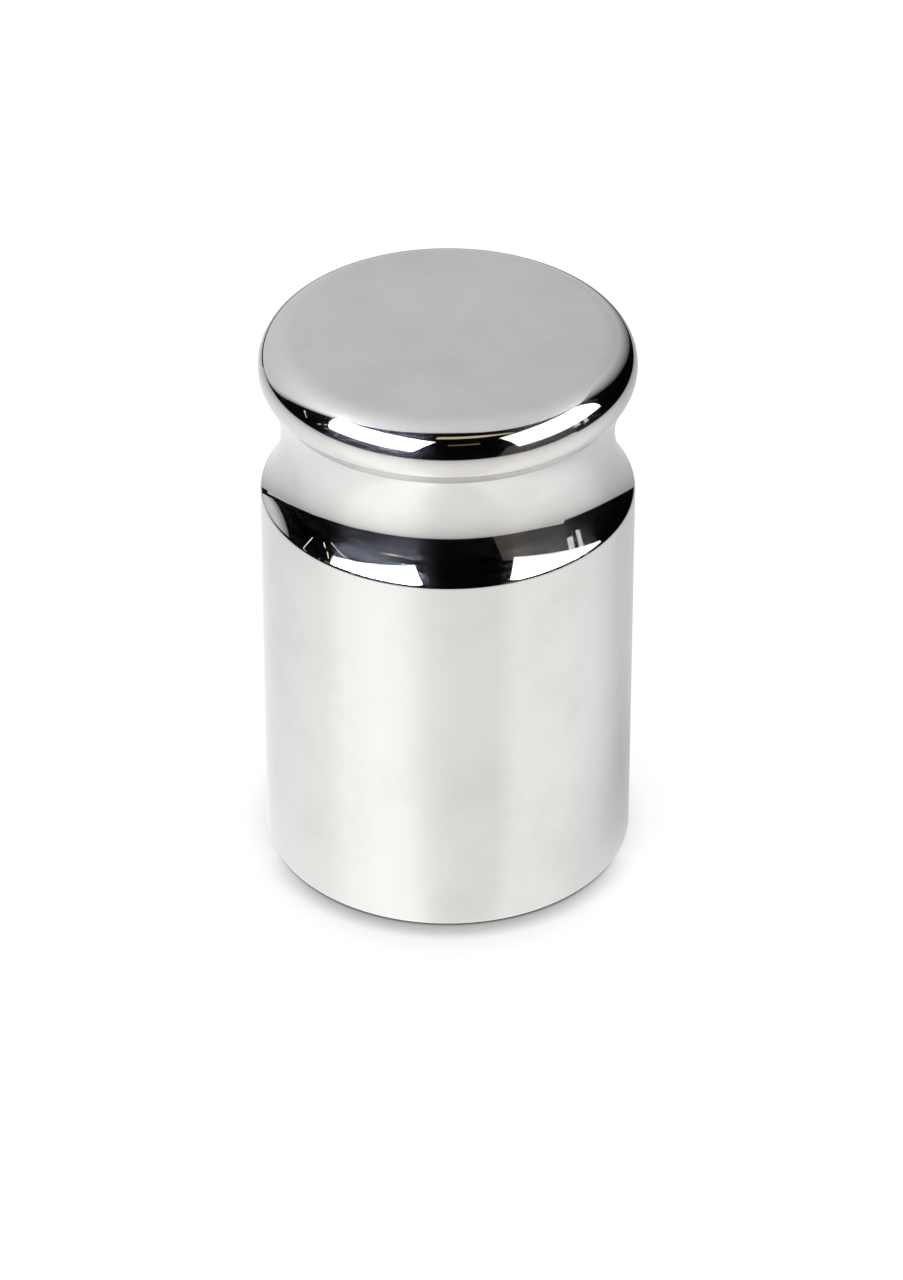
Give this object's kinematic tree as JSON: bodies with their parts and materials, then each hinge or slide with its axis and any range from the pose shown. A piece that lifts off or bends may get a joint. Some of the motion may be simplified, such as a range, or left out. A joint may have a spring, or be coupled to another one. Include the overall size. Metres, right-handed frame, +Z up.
{
  "type": "calibration weight",
  "caption": "Solid turned calibration weight: a plain cylinder with a shallow rounded grip groove under a round-edged knob of the same diameter, standing on a ring round a shallow base recess.",
  "frame": {"origin": "centre of the base, on the plane that the weight stands on", "axes": "+Z up along the turning axis; the weight is round, so +X and +Y are any two square directions across it"},
  "size_m": [0.0474, 0.0474, 0.0744],
  "materials": {
    "weight": "stainless steel, turned and polished to a mirror all over"
  },
  "bodies": {
    "root": {"weight": "weight"}
  },
  "joints": []
}
